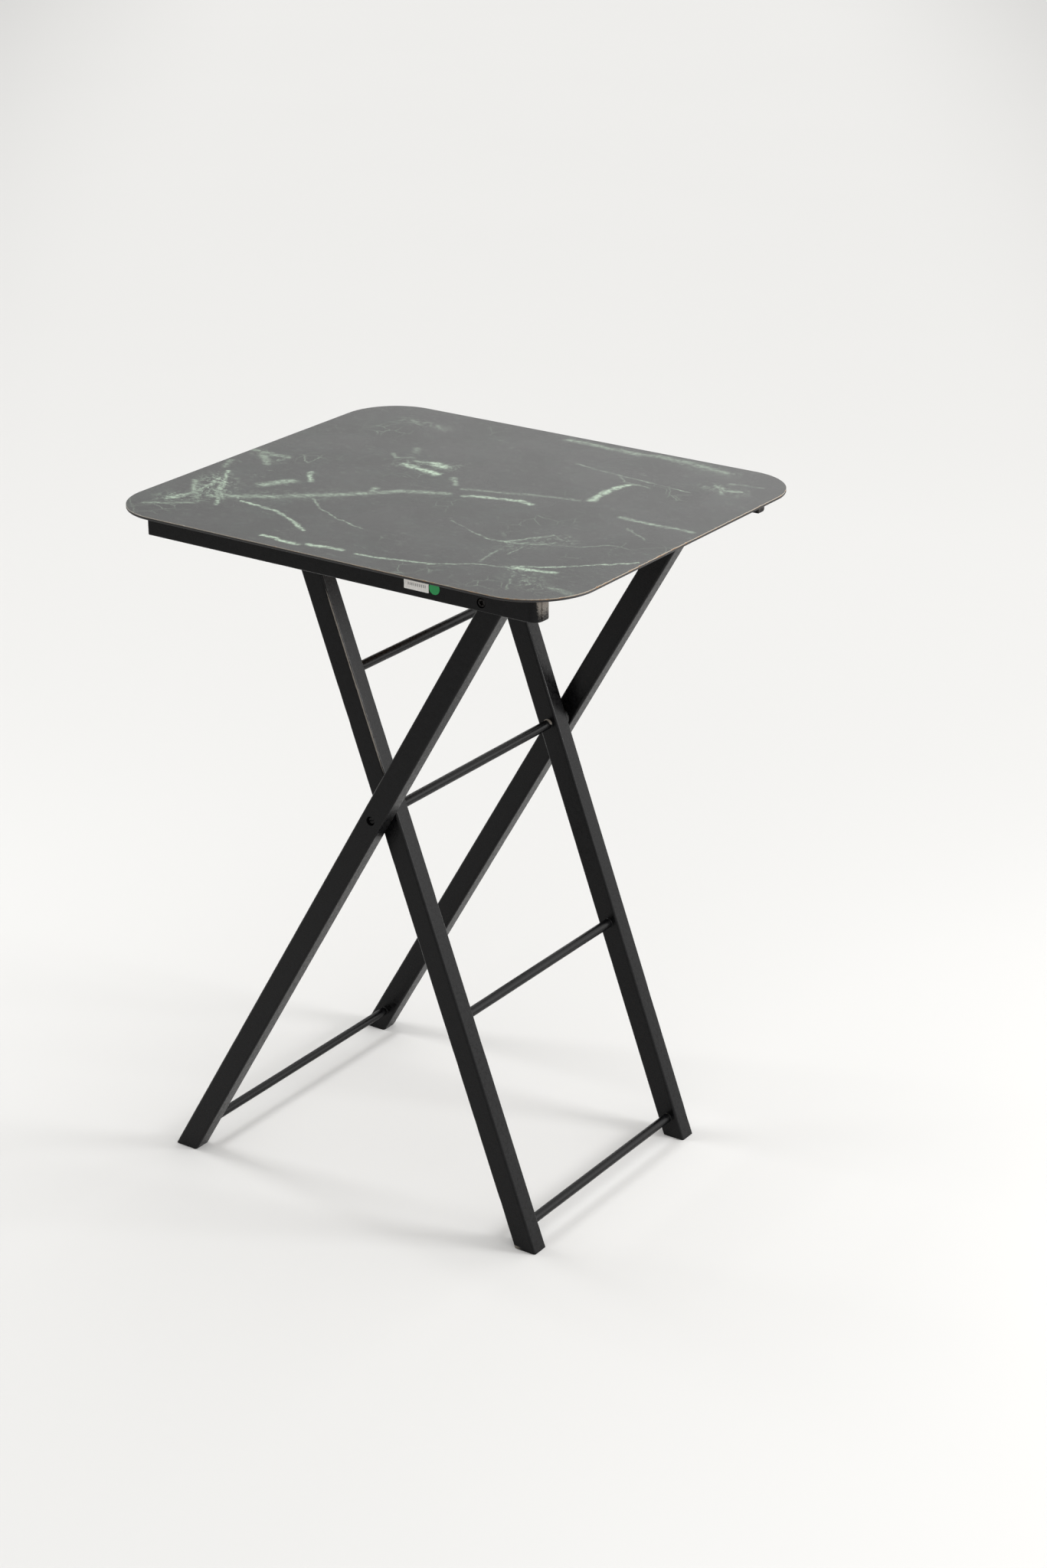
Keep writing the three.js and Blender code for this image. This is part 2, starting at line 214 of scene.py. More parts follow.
class TopSettings(bpy.types.PropertyGroup):
    """Sizes and colours of the laminated board."""

    corner: length("Corner radius", "Radius of the rounded corners", 62 * MM)
    rubbed_corner: length("Rubbed corner", "Radius of the most handled corner", 71 * MM)
    arris: length("Edge softening", "Rounding of the laminate's edge", 0.15 * MM)
    chip: length("Chip depth", "How deep the laminate's edge is chipped", 1.5 * MM)
    ground: colour("Ground", "Dark of the marbled print", (0.0105, 0.0095, 0.0095))
    cloud: colour("Cloud", "Greener clouds in the dark", (0.0145, 0.0175, 0.0155))
    vein: colour("Vein", "Pale veins of the print", (0.33, 0.43, 0.325))
    fibre: colour("Fibre", "Bare fibreboard", (0.36, 0.19, 0.08))
    raw: colour("Raw edge", "Pale raw edge of the laminate", (0.4, 0.36, 0.3))
    edge: colour("Edge paint", "Black paint on the board's edge", (0.009, 0.008, 0.008))
    gloss: share("Roughness", "Roughness of the satin laminate", 0.27)


class WoodSettings(bpy.types.PropertyGroup):
    """Sizes and colours of the painted wood."""

    station: length("Station", "Spacing of the rings along a bar", 2.5 * MM)
    leg_arris: length("Leg arris", "Rounding along the legs' edges", 2.7 * MM)
    rail_arris: length("Rail arris", "Rounding along the rails' edges", 1.4 * MM)
    nose: length("Rail nose", "Rounded outer corner at the rails' hinge end", 10 * MM)
    sole: length("Sole rounding", "Rounding round the soles", 0.7 * MM)
    dent: length("Dent depth", "Depth of the dents along the arrises", 0.2 * MM)
    fillet: length("Glue fillet", "Width of the fillet round a rung", 0.8 * MM)
    round_steps: IntProperty(
        name="Round steps", description="Points round a rung", default=48, min=16
    )
    paint: colour("Paint", "Black paint", (0.0016, 0.0016, 0.0018))
    shine: share("Shine", "Strength of the paint's reflections", 0.17)
    # The undercoat is also the colour of the painted highlights on the front inner leg's arris and
    # the rails' noses.
    undercoat_and_highlight: colour("Undercoat", "Grey-brown wood under rubbed paint", (0.165, 0.15, 0.132))
    gloss: share("Roughness", "Roughness of the satin paint", 0.3)


class HardwareSettings(bpy.types.PropertyGroup):
    """Sizes and colours of the metal, the spacers and the stickers."""

    steel: colour("Steel", "Blackened steel", (0.035, 0.033, 0.032))
    spacer: colour("Spacer", "Black moulded spacer", (0.01, 0.01, 0.01))
    paper: colour("Paper", "White label", (0.8, 0.8, 0.78))
    ink: colour("Ink", "Printed bars", (0.12, 0.12, 0.13))
    dot: colour("Dot", "Green sticker", (0.004, 0.3, 0.075))
    bolt_recess: length("Bolt recess", "Diameter of the sunk bolt's hole", 10 * MM)
    recess_depth: length("Recess depth", "Depth of the sunk holes", 5.5 * MM)
    bolt_hole: length("Bolt hole", "Diameter of the hole for a bolt or screw", 5.6 * MM)


class StageSettings(bpy.types.PropertyGroup):
    """The floor, the light and the camera."""

    floor: colour("Floor", "Pale studio floor", (0.735, 0.733, 0.724))
    # Painted shade on the floor: darker near the table, far in front and far aside.
    floor_shade_near: share("Floor near the table", "Share of the floor's tone kept by the table", 0.83)
    floor_shade_front: share("Floor in front", "Share of the floor's tone kept far in front", 0.45)
    floor_shade_side: share("Floor at the sides", "Share of the floor's tone kept far aside", 0.7)
    sky: colour("Sky", "Soft light from all round", (1.0, 0.995, 0.985))
    sky_back: level("Back light", "Sky behind and to the right", 1.4)
    sky_front: level("Front light", "Sky in front and to the left", 0.62)
    sky_right: level("Side light", "Extra sky at the right", 1.1)
    right: power("Right softbox", "Power of the right softbox", 14.0)
    right_place: spot("Right place", "Where the right softbox hangs", (1.5, 0.54, 0.98))
    left: power("Left softbox", "Power of the left softbox", 8.0)
    left_place: spot("Left place", "Where the left softbox hangs", (-0.92, -0.18, 1.4))
    softbox: length("Softbox", "Width of each softbox", 0.45)
    camera: spot("Camera", "Place of the camera", (1.7754, -2.4826, 1.7109))
    heading: angle("Heading", "Camera's turn from looking along +Y", 34.33)
    tilt: angle("Tilt", "Camera's angle below level", 22.78)
    lens: FloatProperty(
        name="Lens", description="Focal length in millimetres", default=71.77,
        subtype="DISTANCE_CAMERA",
    )


# ------------------------------------------------------------------ meshes


def joint_place(name):
    """Where a joint's axis crosses the middle of the table."""
    found = next(joint for joint in frame["joints"] if joint["name"] == name)
    return Vector(found["pos_m"])


def middle(node):
    """The middle of a frame node."""
    low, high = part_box(node)
    return (low + high) / 2


def faces(node, end):
    """A side piece's outer and inner face along Y, and the sign that points outwards."""
    low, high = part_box(node)
    return (low.y, high.y, -1) if end == "front" else (high.y, low.y, 1)


def quarter_turn(steps):
    """Angles from 0 to 90 degrees in equal steps."""
    return [math.radians(90 * step / steps) for step in range(steps + 1)]


def rounded_section(half_x, half_y, radius, steps=4):
    """Points round a rectangle with rounded corners, from its +x +y corner."""
    points = []
    for quarter, (side_x, side_y) in enumerate(((1, 1), (-1, 1), (-1, -1), (1, -1))):
        for step in range(steps + 1):
            turn = math.radians(90 * (quarter + step / steps))
            points.append((
                side_x * (half_x - radius) + radius * math.cos(turn),
                side_y * (half_y - radius) + radius * math.sin(turn),
            ))
    return points


def dent(place, row, depth):
    """How far an arris is knocked back at a place along it."""
    knock = noise.noise(Vector((place * 45, row * 5.7, 0.31)))
    scuff = noise.noise(Vector((place * 260, row * 3.1, 7.9)))
    return depth * (max(0.0, knock - 0.22) * 1.6 + max(0.0, scuff - 0.3) * 0.5)


def knocked(place, index, count, row, depth):
    """How far a point of a rounded section is knocked back, most in the middle of an arris."""
    arris, step = divmod(index, count)
    return dent(place, row * 4 + arris, depth) * math.sin(math.pi * step / (count - 1))


def loft(rings, cap_end=True):
    """One skin through rings with equal numbers of points, closed at its start."""
    made = bmesh.new()
    rows = [[made.verts.new(point) for point in ring] for ring in rings]
    for low, high in zip(rows, rows[1:]):
        for here in range(len(low)):
            after = (here + 1) % len(low)
            made.faces.new((low[here], low[after], high[after], high[here]))
    made.faces.new(rows[0][::-1])
    if cap_end:
        made.faces.new(rows[-1])
    bmesh.ops.remove_doubles(made, verts=made.verts, dist=1e-6)
    bmesh.ops.dissolve_degenerate(made, edges=made.edges, dist=1e-6)
    bmesh.ops.recalc_face_normals(made, faces=made.faces)
    return made


def put_in_scene(name, made):
    """Turns a built mesh into an object of the scene."""
    mesh = bpy.data.meshes.new(name)
    made.to_mesh(mesh)
    made.free()
    finished = bpy.data.objects.new(name, mesh)
    bpy.context.scene.collection.objects.link(finished)
    return finished


def piece(name, made, body, node):
    """Turns a built mesh into an object that stands for a frame node and rides on a body."""
    finished = put_in_scene(name, made)
    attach(finished, body)
    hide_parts(node)
    return finished


def drill(target, holes):
    """Cuts round holes along Y: each is (x, z, radius, from y, to y)."""
    made = bmesh.new()
    for x, z, radius, start, stop in holes:
        place = Matrix.Translation((x, (start + stop) / 2, z))
        place @= Matrix.Rotation(math.pi / 2, 4, "X")
        bmesh.ops.create_cone(
            made, cap_ends=True, segments=40, radius1=radius, radius2=radius,
            depth=abs(stop - start), matrix=place,
        )
    cutter = put_in_scene("drill", made)
    cut = target.modifiers.new("drill", "BOOLEAN")
    cut.operation = "DIFFERENCE"
    cut.solver = "EXACT"
    cut.use_self = True
    cut.object = cutter
    bpy.context.view_layer.update()
    evaluated = target.evaluated_get(bpy.context.evaluated_depsgraph_get())
    drilled = bpy.data.meshes.new_from_object(evaluated)
    target.modifiers.clear()
    target.data = drilled
    bpy.data.meshes.remove(cutter.data)


def housing(node, inside, way):
    """The blind hole that a rung sits in, as drill() takes it."""
    low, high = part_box(node)
    place = middle(node)
    radius = (high.z - low.z) / 2 + PLAY
    return (place.x, place.z, radius, inside - OVERRUN * way, inside + HOUSING * way)


def bolt_hole(hardware, place, outside, inside, way):
    """A bolt's hole, right through."""
    overrun = OVERRUN * way
    return (place.x, place.z, hardware.bolt_hole / 2, inside - overrun, outside + overrun)


def sunk_hole(hardware, place, outside, inside, way):
    """A bolt's hole and the recess round its head."""
    floor_of_recess = outside - hardware.recess_depth * way
    recess = (place.x, place.z, hardware.bolt_recess / 2, floor_of_recess, outside + OVERRUN * way)
    return [bolt_hole(hardware, place, outside, inside, way), recess]


def soften(target):
    """Smooth shading that keeps the flats flat."""
    target.data.shade_smooth()
    target.data.set_sharp_from_angle(angle=FLAT_ANGLE)
    weighted = target.modifiers.new("flats", "WEIGHTED_NORMAL")
    weighted.keep_sharp = True
    weighted.weight = 80


def mark(target, name, kind, values):
    """Stores one number or vector a vertex, for the material to read."""
    attribute = target.data.attributes.new(name, kind, "POINT")
    key = "vector" if kind == "FLOAT_VECTOR" else "value"
    attribute.data.foreach_set(key, np.asarray(values, np.float32).ravel())


def vertex_places(target):
    """Every vertex of a mesh as rows of a numpy array."""
    places = np.zeros(len(target.data.vertices) * 3, np.float32)
    target.data.vertices.foreach_get("co", places)
    return places.reshape(-1, 3).astype(float)


def mark_wood(target, grain, rub, bare):
    """Stores each vertex's place along the grain, how rubbed it is and how bare; the bare mark
    also carries painted highlights.
    """
    count = len(grain)
    mark(target, "grain", "FLOAT_VECTOR", grain)
    mark(target, "rub", "FLOAT", np.broadcast_to(rub, count))
    mark(target, "bare", "FLOAT", np.broadcast_to(bare, count))


def mark_grain(target, origin, lean, half_x, half_y, arris, wear_and_highlight=None):
    """Marks each vertex with its place along the grain and with how near an arris it is."""
    places = vertex_places(target) - np.array(origin)
    across = places[:, 0] * math.cos(lean) - places[:, 2] * math.sin(lean)
    along = places[:, 0] * math.sin(lean) + places[:, 2] * math.cos(lean)
    grain = np.stack([across, places[:, 1], along], axis=1)
    gap_x = np.abs(half_x - np.abs(across))
    gap_y = np.abs(half_y - np.abs(places[:, 1]))
    rub = np.clip(1 - np.maximum(gap_x, gap_y) / arris, 0, 1)
    mark_wood(target, grain, rub, wear_and_highlight(places, grain, rub) if wear_and_highlight else 0)


# ------------------------------------------------------------------ materials

MEASURES = ("DOT_PRODUCT", "DISTANCE", "LENGTH")  # vector nodes that give a number


class Nodes:
    """A node tree being built: each call makes a node and links what it is given."""

    def __init__(self, tree):
        self.tree = tree

    def set(self, node, **inputs):
        """Sets or links inputs, named by their label or as _0, _1 and so on."""
        for key, value in inputs.items():
            socket = node.inputs[int(key[1:]) if key[1:].isdigit() else key.replace("_", " ")]
            if isinstance(value, bpy.types.NodeSocket):
                self.tree.links.new(value, socket)
            elif hasattr(value, "__len__") and socket.type == "RGBA":
                socket.default_value = (*value, 1.0)
            else:
                socket.default_value = value
        return node

    def node(self, kind, settings=None, **inputs):
        made = self.tree.nodes.new("ShaderNode" + kind)
        for key, value in (settings or {}).items():
            setattr(made, key, value)
        return self.set(made, **inputs)

    def math(self, operation, first, second=0.0, clamp=False):
        made = self.node("Math", {"operation": operation, "use_clamp": clamp}, _0=first, _1=second)
        return made.outputs[0]

    def vector(self, operation, *values):
        inputs = {f"_{index}": value for index, value in enumerate(values)}
        made = self.node("VectorMath", {"operation": operation}, **inputs)
        return made.outputs["Value" if operation in MEASURES else "Vector"]

    def ramp(self, value, low, high, to_low=0.0, to_high=1.0, smooth=True):
        made = self.node(
            "MapRange", {"interpolation_type": "SMOOTHSTEP" if smooth else "LINEAR"},
            Value=value, From_Min=low, From_Max=high, To_Min=to_low, To_Max=to_high,
        )
        return made.outputs[0]


class Finish(Nodes):
    """A material being built."""

    def __init__(self, name):
        self.material = bpy.data.materials.new(name)
        self.material.use_nodes = True
        super().__init__(self.material.node_tree)
        self.tree.nodes.clear()
        self.shader = self.node("BsdfPrincipled")
        out = self.tree.nodes.new("ShaderNodeOutputMaterial")
        self.tree.links.new(self.shader.outputs[0], out.inputs[0])

    def place(self):
        """Where the surface is, in metres, in the table's own frame."""
        return self.node("TexCoord").outputs["Object"]

    def millimetres(self, up=1000):
        """Where the surface is, in millimetres; up=0 leaves its height out."""
        return self.stretch(self.place(), (1000, 1000, up))

    def marked(self, name):
        return self.node("Attribute", {"attribute_name": name})

    def noise(self, at, scale, detail=2.0, roughness=0.5, distortion=0.0):
        made = self.node(
            "TexNoise", Vector=at, Scale=scale, Detail=detail, Roughness=roughness,
            Distortion=distortion,
        )
        return made.outputs["Fac"]

    def stretch(self, at, scale, turn=0.0):
        made = self.node("Mapping", Vector=at, Scale=scale, Rotation=(0, 0, turn))
        return made.outputs[0]

    def mix(self, share_of, first, second):
        made = self.node("Mix", {"data_type": "RGBA"}, _0=share_of, _6=first, _7=second)
        return made.outputs[2]

    def bump(self, height, distance, strength=1.0, normal=None):
        made = self.node("Bump", Height=height, Distance=distance, Strength=strength)
        if normal is not None:
            self.set(made, Normal=normal)
        return made.outputs[0]


def shade(tone, by):
    """A colour made darker or lighter."""
    return tuple(by * part for part in tone)


def dress(target, material):
    """Gives a piece or a frame node its one material."""
    target.data.materials.clear()
    target.data.materials.append(material)


def vein_group():
    """Brightness of one straight stretch of vein at a place, all in millimetres."""
    group = bpy.data.node_groups.new("vein stretch", "ShaderNodeTree")
    for name in ("Place", "Start", "Run"):
        group.interface.new_socket(name, in_out="INPUT", socket_type="NodeSocketVector")
    for name in ("Reach", "Bright"):
        group.interface.new_socket(name, in_out="INPUT", socket_type="NodeSocketFloat")
    group.interface.new_socket("Value", in_out="OUTPUT", socket_type="NodeSocketFloat")
    made = Nodes(group)
    given = group.nodes.new("NodeGroupInput").outputs
    run = given["Run"]
    away = made.vector("SUBTRACT", given["Place"], given["Start"])
    along = made.vector("DOT_PRODUCT", away, run)
    ratio = made.math("DIVIDE", along, made.vector("DOT_PRODUCT", run, run))
    part = made.node("Clamp", _0=ratio).outputs[0]
    nearest = made.node("VectorMath", {"operation": "SCALE"}, _0=run, Scale=part).outputs[0]
    gap = made.vector("DISTANCE", away, nearest)
    value = made.ramp(gap, given["Reach"], 0.0, 0.0, given["Bright"])
    group.links.new(value, group.nodes.new("NodeGroupOutput").inputs[0])
    return group


def strongest(made, place, group, lines, widen):
    """The brightest of many lines at a place: each is half width, brightness and points."""
    brightest = None
    for reach, bright, points in lines:
        for start, stop in zip(points, points[1:]):
            run = (stop[0] - start[0], stop[1] - start[1], 0)
            line = made.node(
                "Group", {"node_tree": group}, Place=place, Start=(*start, 0), Run=run,
                Reach=reach * widen, Bright=bright,
            ).outputs[0]
            brightest = line if brightest is None else made.math("MAXIMUM", brightest, line)
    return brightest


def laminate_finish(top):
    """Dark green marbled print under a satin surface."""
    made = Finish("marbled laminate")
    place = made.millimetres(up=0)
    drift = made.node("TexNoise", Vector=place, Scale=0.018, Detail=3.0).outputs["Color"]
    ragged = made.node("TexNoise", Vector=place, Scale=0.11, Detail=5.0, Roughness=0.65)
    sway = made.vector("MULTIPLY_ADD", drift, (16, 16, 0), (-8, -8, 0))
    tear = made.vector("MULTIPLY_ADD", ragged.outputs["Color"], (9, 9, 0), (-4.5, -4.5, 0))
    shifted = made.vector("ADD", made.vector("ADD", place, sway), tear)

    group = vein_group()
    slant = made.stretch(place, (0.035, 0.16, 0), math.radians(38))
    streak = made.noise(slant, 1.0, 6.0, 0.62, 0.6)
    broken = made.noise(place, 0.24, 5.0, 0.75)
    veins = strongest(made, shifted, group, VEINS, 1.35)
    veins = made.math("MULTIPLY", veins, made.ramp(streak, 0.3, 0.62, 0.4, 1.3))
    veins = made.math("MULTIPLY", veins, made.ramp(broken, 0.38, 0.55, 0.2, 1.2))

    ridge = made.noise(shifted, 0.075, 4.0, 0.6, 0.8)
    ridge = made.math("ABSOLUTE", made.math("SUBTRACT", ridge, 0.5))
    ridge = made.math("MULTIPLY", made.ramp(ridge, 0.055, 0.0), made.ramp(broken, 0.4, 0.6))
    feathers = made.math("MULTIPLY", strongest(made, shifted, group, FEATHERS, 1), ridge)

    crazing = made.node("TexVoronoi", {"feature": "DISTANCE_TO_EDGE"}, Vector=shifted, Scale=0.045)
    hairline = made.ramp(crazing.outputs["Distance"], 0.03, 0.0, 0.0, 0.32)
    patches = made.ramp(made.noise(place, 0.012, 2.0), 0.56, 0.7)
    hairline = made.math("MULTIPLY", hairline, patches)
    wisps = made.ramp(made.noise(slant, 2.3, 7.0, 0.7, 1.4), 0.55, 0.75, 0.0, 0.34)
    faint = made.math("MAXIMUM", hairline, wisps)
    pale = made.math("MAXIMUM", made.math("MAXIMUM", veins, feathers), faint)

    cloud = made.ramp(made.noise(place, 0.02, 5.0, 0.6), 0.4, 0.75)
    ground = made.mix(cloud, top.ground, top.cloud)
    print_grain = made.noise(place, 1.1, 3.0, 0.7)
    specks = made.ramp(print_grain, 0.5, 0.72, 0.0, 0.9)
    ground = made.mix(specks, ground, shade(top.cloud, 5.2))
    worn_print = made.ramp(print_grain, 0.3, 0.6, 0.6, 1.0)
    tone = made.mix(made.math("MULTIPLY", pale, worn_print, clamp=True), ground, top.vein)
    edge = made.marked("edge").outputs["Fac"]
    made.set(made.shader, Base_Color=made.mix(edge, tone, top.raw), IOR=1.45)

    haze = made.noise(place, 0.012, 2.0)
    pores = made.noise(place, 2.2, 3.0, 0.7)
    rough = made.math("ADD", made.ramp(haze, 0.3, 0.7, top.gloss - 0.02, top.gloss + 0.03),
                      made.ramp(pores, 0.4, 0.7, 0.0, 0.05))
    made.set(made.shader, Roughness=rough, Normal=made.bump(pores, 0.1 * MM, 0.6))
    return made.material


def board_finish(top):
    """Brown fibreboard with black paint on its edge, rubbed through along the arris."""
    made = Finish("fibreboard")
    place = made.millimetres()
    rub = made.marked("rub").outputs["Fac"]
    flecks = made.noise(place, 0.55, 4.0, 0.7)
    worn = made.ramp(made.math("ADD", rub, made.math("MULTIPLY", flecks, 0.9)), 0.82, 1.02)
    fibres = made.noise(made.stretch(place, (0.5, 0.5, 3.0)), 1.0, 5.0, 0.7)
    bare = made.mix(made.ramp(fibres, 0.3, 0.7), shade(top.fibre, 0.45), top.fibre)
    made.set(made.shader, Base_Color=made.mix(worn, top.edge, bare))
    made.set(made.shader, Roughness=made.ramp(worn, 0.0, 1.0, 0.45, 0.85))
    made.set(made.shader, Normal=made.bump(fibres, 0.15 * MM, 0.6))
    return made.material


def paint_finish(wood):
    """Satin black paint over wood, with brush lines, knocks and rubbed arrises, some made paler as
    painted highlights.
    """
    made = Finish("black painted wood")
    grain = made.stretch(made.marked("grain").outputs["Vector"], (1000, 1000, 1000))
    lines = made.noise(made.stretch(grain, (0.9, 0.9, 0.02)), 1.0, 4.0, 0.6)
    pores = made.noise(made.stretch(grain, (3.0, 3.0, 0.12)), 1.0, 3.0, 0.6)
    film = made.noise(grain, 0.25, 3.0, 0.55)
    rub = made.marked("rub").outputs["Fac"]
    scuffs = made.noise(made.stretch(grain, (0.6, 0.6, 0.14)), 1.0, 6.0, 0.75)
    near = made.math("MULTIPLY", rub, 0.26)
    worn = made.ramp(made.math("ADD", scuffs, near), 0.86, 0.97)
    specks = made.ramp(made.noise(grain, 0.9, 2.0, 0.5), 0.79, 0.84, 0.0, 0.6)
    # The bare mark is worn wood, and on the front inner leg's arris and the rails' noses also a
    # painted highlight.
    bare = made.marked("bare").outputs["Fac"]
    bare = made.ramp(made.math("ADD", bare, made.math("MULTIPLY", scuffs, 0.5)), 0.75, 0.95)
    shown = made.math("MAXIMUM", made.math("MAXIMUM", worn, specks), bare)
    tone = made.mix(made.ramp(film, 0.35, 0.7), wood.paint, shade(wood.paint, 1.9))
    made.set(made.shader, Base_Color=made.mix(shown, tone, wood.undercoat_and_highlight))
    sheen = made.ramp(film, 0.3, 0.7, wood.gloss - 0.05, wood.gloss + 0.08)
    made.set(made.shader, Roughness=made.math("ADD", sheen, made.math("MULTIPLY", shown, 0.35)))
    relief = made.bump(lines, 0.12 * MM, 0.55)
    relief = made.bump(pores, 0.05 * MM, 0.5, relief)
    relief = made.bump(film, 0.3 * MM, 0.35, relief)
    made.set(made.shader, Normal=relief, Specular_IOR_Level=wood.shine)
    return made.material


def steel_finish(hardware):
    """Blackened steel with fine turning marks and a little dark grime."""
    made = Finish("dulled steel")
    place = made.millimetres()
    grime = made.ramp(made.noise(place, 0.6, 4.0, 0.6), 0.4, 0.65)
    tone = made.mix(grime, hardware.steel, shade(hardware.steel, 0.25))
    made.set(made.shader, Base_Color=tone, Metallic=1.0)
    made.set(made.shader, Roughness=made.ramp(grime, 0.0, 1.0, 0.42, 0.7))
    turned = made.noise(made.stretch(place, (1, 9, 1)), 1.0, 3.0)
    made.set(made.shader, Normal=made.bump(turned, 0.04 * MM, 0.5))
    return made.material


def spacer_finish(hardware):
    """Black moulded plastic with a fine matt texture."""
    made = Finish("moulded spacer")
    place = made.millimetres()
    texture = made.noise(place, 2.5, 3.0)
    tone = made.mix(texture, hardware.spacer, shade(hardware.spacer, 2.2))
    made.set(made.shader, Base_Color=tone)
    made.set(made.shader, Roughness=made.ramp(texture, 0.3, 0.7, 0.45, 0.62))
    made.set(made.shader, Normal=made.bump(texture, 0.06 * MM, 0.5))
    return made.material


def label_finish(hardware):
    """White paper label with one row of plain printed bars."""
    low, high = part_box("rail_label")
    made = Finish("paper label")
    parts = made.node("SeparateXYZ", Vector=made.place()).outputs
    along = made.ramp(parts["X"], low.x, high.x, smooth=False)
    up = made.ramp(parts["Z"], low.z, high.z, smooth=False)
    row = made.math("LESS_THAN", made.math("ABSOLUTE", made.math("SUBTRACT", up, 0.47)), 0.12)
    span = made.math("LESS_THAN", made.math("ABSOLUTE", made.math("SUBTRACT", along, 0.52)), 0.36)
    beat = made.math("FRACT", made.math("MULTIPLY", along, 13.0))
    bars = made.math("LESS_THAN", beat, 0.52)
    ink = made.math("MULTIPLY", made.math("MULTIPLY", row, span), bars)
    fibres = made.noise(made.millimetres(), 0.9, 4.0)
    ink = made.math("MULTIPLY", ink, made.ramp(fibres, 0.3, 0.6, 0.55, 0.85))
    soiled = shade(hardware.paper, 0.86)
    paper = made.mix(made.ramp(fibres, 0.35, 0.7), soiled, hardware.paper)
    made.set(made.shader, Base_Color=made.mix(ink, paper, hardware.ink), Roughness=0.55)
    made.set(made.shader, Normal=made.bump(fibres, 0.03 * MM, 0.5))
    return made.material


def dot_finish(hardware):
    """Green paper sticker, a little uneven in its print."""
    made = Finish("green dot")
    place = made.millimetres()
    print_grain = made.noise(place, 1.1, 3.0)
    deep = shade(hardware.dot, 0.75)
    tone = made.mix(made.ramp(print_grain, 0.35, 0.7), hardware.dot, deep)
    made.set(made.shader, Base_Color=tone)
    made.set(made.shader, Roughness=made.ramp(print_grain, 0.3, 0.7, 0.4, 0.55))
    made.set(made.shader, Normal=made.bump(print_grain, 0.03 * MM, 0.4))
    return made.material


def floor_finish(stage):
    """Seamless pale studio floor, with painted shade near the table, far in front and far aside.
    """
    made = Finish("studio floor")
    place = made.place()
    mottle = made.noise(place, 1.4, 4.0)
    tone = made.mix(mottle, stage.floor, shade(stage.floor, 0.985))
    # Painted shade: the floor's tone is darkened near the table, far in front and far aside.
    near, front, aside = (
        shade(stage.floor, kept)
        for kept in (stage.floor_shade_near, stage.floor_shade_front, stage.floor_shade_side)
    )
    tone = made.mix(made.ramp(made.vector("LENGTH", place), 0.3, 2.4), near, tone)
    ahead = made.vector("DOT_PRODUCT", place, AHEAD)
    tone = made.mix(made.ramp(ahead, -3.4, -0.6), front, tone)
    across = made.vector("DOT_PRODUCT", place, ACROSS)
    across = made.math("ABSOLUTE", made.math("SUBTRACT", across, 0.07))
    tone = made.mix(made.ramp(across, 0.9, 2.6), tone, aside)
    made.set(made.shader, Base_Color=tone, Roughness=0.9, Specular_IOR_Level=0.1)
    return made.material


# ------------------------------------------------------------------ top


def top_outline(low, high, corner, rubbed):
    """Points round the top with their outward directions, from the front edge's hinge end."""
    corners = (
        (high.x, low.y, 1, -1, -90, rubbed), (high.x, high.y, 1, 1, 0, corner),
        (low.x, high.y, -1, 1, 90, corner), (low.x, low.y, -1, -1, 180, corner),
    )
    arcs = []
    for x, y, side_x, side_y, first, radius in corners:
        centre = Vector((x - side_x * radius, y - side_y * radius))
        count = max(8, int(math.radians(90) * radius / OUTLINE_STEP))
        for turn in np.linspace(math.radians(first), math.radians(first + 90), count):
            outward = Vector((math.cos(turn), math.sin(turn)))
            arcs.append((centre + outward * radius, outward))
    points = []
    for (here, outward), (after, _) in zip(arcs, arcs[1:] + arcs[:1]):
        points.append((here, outward))
        gap = (after - here).length
        extra = int(gap / OUTLINE_STEP)
        if extra > 1:
            points += [(here.lerp(after, part / extra), outward) for part in range(1, extra)]
    return points


def handled(point, low, high):
    """How much an edge is handled: most at the front hinge corner."""
    corner = Vector((high.x - 0.03, low.y + 0.02))
    near = math.exp(-(((point - corner).length / 0.16) ** 2))
    right = math.exp(-((high.x - point.x) / 0.03)) * 0.6
    front = math.exp(-((point.y - low.y) / 0.02)) * 0.35
    return min(1.0, 0.12 + near + right + front)


class TABLE_OT_laminate(bpy.types.Operator):
    """Build the marbled laminate with its chipped edge"""

    bl_idname = "table.laminate"
    bl_label = "Laminate"

    def execute(self, context):
        top = context.scene.table_top
        low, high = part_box("top_laminate")
        outline = top_outline(low, high, top.corner, top.rubbed_corner)
        rings = [[], [], []]
        for point, outward in outline:
            chip = noise.noise(Vector((point.x * 190, point.y * 190, 2.3)))
            nick = noise.noise(Vector((point.x * 620, point.y * 620, 9.1)))
            handling = handled(point, low, high)
            depth = max(0.0, chip - 0.28 + 0.2 * handling) + max(0.0, nick - 0.34)
            inset = top.chip * min(1.0, depth * 1.3) * handling
            for ring, height, back in (
                (rings[0], low.z, 0), (rings[1], high.z - top.arris, 0),
                (rings[2], high.z, top.arris),
            ):
                edge = point - outward * (inset + back)
                ring.append((edge.x, edge.y, height))
        rings.insert(0, [(x * 0.996, y * 0.996, z) for x, y, z in rings[0]])
        laminate = piece("marbled_top", loft(rings), "tabletop", "top_laminate")
        places = vertex_places(laminate)
        mark(laminate, "edge", "FLOAT", np.where(places[:, 2] > high.z - top.arris / 2, 0.0, 0.8))
        laminate.data.shade_flat()
        dress(laminate, laminate_finish(top))
        return {"FINISHED"}


